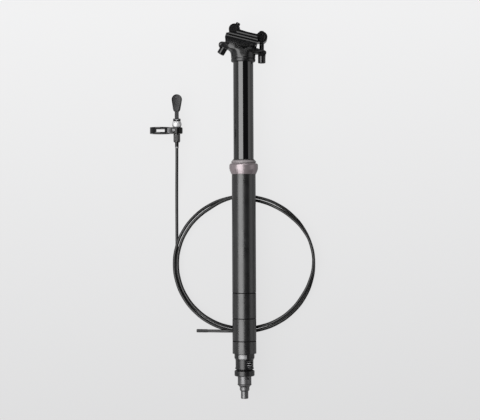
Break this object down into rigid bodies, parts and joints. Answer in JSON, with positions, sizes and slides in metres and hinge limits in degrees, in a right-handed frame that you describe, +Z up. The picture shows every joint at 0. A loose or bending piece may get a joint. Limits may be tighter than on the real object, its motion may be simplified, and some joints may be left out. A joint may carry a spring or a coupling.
{
  "type": "dropper seatpost",
  "caption": "Telescoping bicycle seatpost with a rail clamp head, a cable coupler at its foot, and a thumb remote on a coiled cable housing, laid flat.",
  "frame": {"origin": "on the post's axis at the underside of the seal collar", "axes": "+Y up the post to the saddle, +X to the saddle's nose, +Z up off the surface it lies on"},
  "size_m": [0.2207, 0.4988, 0.06],
  "materials": {
    "tube_black": "matte black anodised",
    "stanchion_black": "gloss black hard anodised",
    "collar_mauve": "satin mauve-grey anodised",
    "cap_mauve": "satin grey anodised",
    "seal_rubber": "soft matte rubber",
    "foam": "oil-soaked foam",
    "bushing_plastic": "self-oiling plastic",
    "brass": "plain",
    "inner_alloy": "plain",
    "rod_steel": "polished",
    "head_black": "matte black forged",
    "clamp_black": "satin black",
    "bolt_black": "black oxide",
    "actuator_black": "satin black",
    "silver": "machined",
    "clip_silver": "bright",
    "remote_black": "satin black",
    "paddle_grey": "textured grip",
    "housing_black": "smooth sheath",
    "ferrule_black": "plain"
  },
  "bodies": {
    "post": {"outer_tube": "tube_black", "seal_collar": "collar_mauve", "seal_cap": "cap_mauve", "wiper_seal": "seal_rubber", "foam_ring": "foam", "upper_bushing": "bushing_plastic", "actuator_housing": "actuator_black", "retaining_clip": "clip_silver", "lock_ring": "actuator_black", "piston_rod": "rod_steel", "piston": "brass", "piston_seal": "seal_rubber", "nipple_bar": "rod_steel", "return_spring": "rod_steel", "bar_clamp": "remote_black", "clamp_bolt": "clip_silver", "clamp_shoe": "clip_silver", "adjuster_ferrule": "ferrule_black", "housing_lead": "housing_black", "housing_coil": "housing_black", "housing_tail": "housing_black", "end_ferrule": "ferrule_black"},
    "upper": {"stanchion": "stanchion_black", "post_head": "head_black", "lower_bushing": "bushing_plastic", "guide_keys": "brass", "cartridge_tube": "inner_alloy", "cartridge_gland": "inner_alloy", "rod_seal": "seal_rubber", "cartridge_circlip": "rod_steel", "cartridge_cap": "inner_alloy"},
    "floater": {"floating_piston": "brass", "floating_seal": "seal_rubber"},
    "clamp": {"lower_cradle": "clamp_black", "upper_clamp": "clamp_black"},
    "front_bolt_set": {"front_bolt": "bolt_black", "front_washer": "bolt_black"},
    "rear_bolt_set": {"rear_bolt": "bolt_black", "rear_washer": "bolt_black"},
    "front_nut_body": {"front_nut": "bolt_black"},
    "rear_nut_body": {"rear_nut": "bolt_black"},
    "valve": {"release_pin": "rod_steel"},
    "coupler": {"cable_coupler": "silver", "coupler_tip": "silver", "coupler_screw": "bolt_black"},
    "swivel": {"swivel_ball": "clip_silver", "lever_yoke": "remote_black", "paddle_pin": "rod_steel"},
    "lever": {"paddle": "paddle_grey", "thumb_pad": "paddle_grey"},
    "wire": {"inner_wire": "rod_steel"},
    "adjuster": {"barrel_adjuster": "remote_black"}
  },
  "joints": [
    {"name": "post_drop", "type": "slide", "parent": "post", "child": "upper", "axis": [0, -1, 0], "range_m": [0, 0.125]},
    {"name": "float_rise", "type": "slide", "parent": "upper", "child": "floater", "axis": [0, 1, 0], "range_m": [0, 0.03]},
    {"name": "saddle_tilt", "type": "hinge", "parent": "upper", "child": "clamp", "pos_m": [0, 0.1788, 0], "axis": [0, 0, 1], "range_deg": [-8, 8]},
    {"name": "front_bolt_swing", "type": "hinge", "parent": "upper", "child": "front_bolt_set", "pos_m": [0.0246, 0.1578, 0], "axis": [0, 0, 1], "range_deg": [-1.5, 1.5]},
    {"name": "rear_bolt_swing", "type": "hinge", "parent": "upper", "child": "rear_bolt_set", "pos_m": [-0.0255, 0.1689, 0], "axis": [0, 0, 1], "range_deg": [-2.5, 2.5]},
    {"name": "front_nut_turn", "type": "hinge", "parent": "clamp", "child": "front_nut_body", "pos_m": [0.0246, 0.182, 0], "axis": [0, 0, 1], "range_deg": [-8, 8]},
    {"name": "rear_nut_turn", "type": "hinge", "parent": "clamp", "child": "rear_nut_body", "pos_m": [-0.0115, 0.1926, 0], "axis": [0, 0, 1], "range_deg": [-8, 8]},
    {"name": "cable_pull", "type": "slide", "parent": "post", "child": "coupler", "axis": [0, 1, 0], "range_m": [0, 0.003], "stiffness_N_per_m": 2000, "springref_m": -0.004, "deforming": ["return_spring"]},
    {"name": "valve_open", "type": "slide", "parent": "post", "child": "valve", "axis": [0, 1, 0], "range_m": [0, 0.003]},
    {"name": "ball_swivel", "type": "hinge", "parent": "post", "child": "swivel", "pos_m": [-0.0891, 0.06905, -0.0158], "axis": [0, 0, 1], "range_deg": [-15, 15]},
    {"name": "paddle_press", "type": "hinge", "parent": "swivel", "child": "lever", "pos_m": [-0.0891, 0.07525, -0.0224], "axis": [-1, 0, 0], "range_deg": [0, 18], "stiffness_Nm_per_rad": 0.4, "springref_deg": -17.19},
    {"name": "wire_pull", "type": "slide", "parent": "swivel", "child": "wire", "axis": [0, 1, 0], "range_m": [0, 0.0022]},
    {"name": "adjuster_turn", "type": "hinge", "parent": "post", "child": "adjuster", "pos_m": [-0.0891, 0.05, -0.0158], "axis": [0, 1, 0], "continuous": true}
  ],
  "couplings": [
    {"joint": "float_rise", "follows": "post_drop", "ratio": 0.22438},
    {"joint": "front_bolt_swing", "follows": "saddle_tilt", "ratio": 0.132},
    {"joint": "rear_bolt_swing", "follows": "saddle_tilt", "ratio": 0.219},
    {"joint": "front_nut_turn", "follows": "saddle_tilt", "ratio": -0.868},
    {"joint": "rear_nut_turn", "follows": "saddle_tilt", "ratio": -0.781},
    {"joint": "valve_open", "follows": "cable_pull", "ratio": 1},
    {"joint": "wire_pull", "follows": "paddle_press", "m_per_rad": 0.0066}
  ]
}
